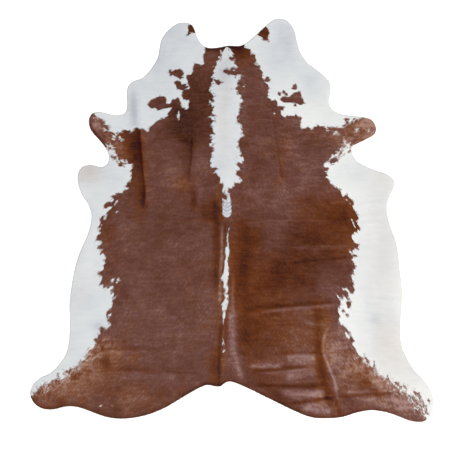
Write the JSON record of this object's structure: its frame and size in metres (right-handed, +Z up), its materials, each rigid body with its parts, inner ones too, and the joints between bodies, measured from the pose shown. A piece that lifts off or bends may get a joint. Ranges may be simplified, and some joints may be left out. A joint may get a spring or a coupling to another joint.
{
  "type": "cowhide rug",
  "caption": "Whole brown and white cowhide with its hair on, tanned and trimmed as a flat floor rug that lies hair side up.",
  "frame": {"origin": "middle of the hide's outline, on the floor that it lies on", "axes": "+Z up, out of the hair side; +Y along the spine towards the neck; +X to the right of the picture, seen from above with the neck up"},
  "size_m": [2.2, 2.1974, 0.014],
  "materials": {
    "hide": "hair-on cowhide: short smooth chestnut and white hair with a soft sheen above, pale suede flesh side below"
  },
  "bodies": {
    "root": {"hide": "hide"}
  },
  "joints": []
}
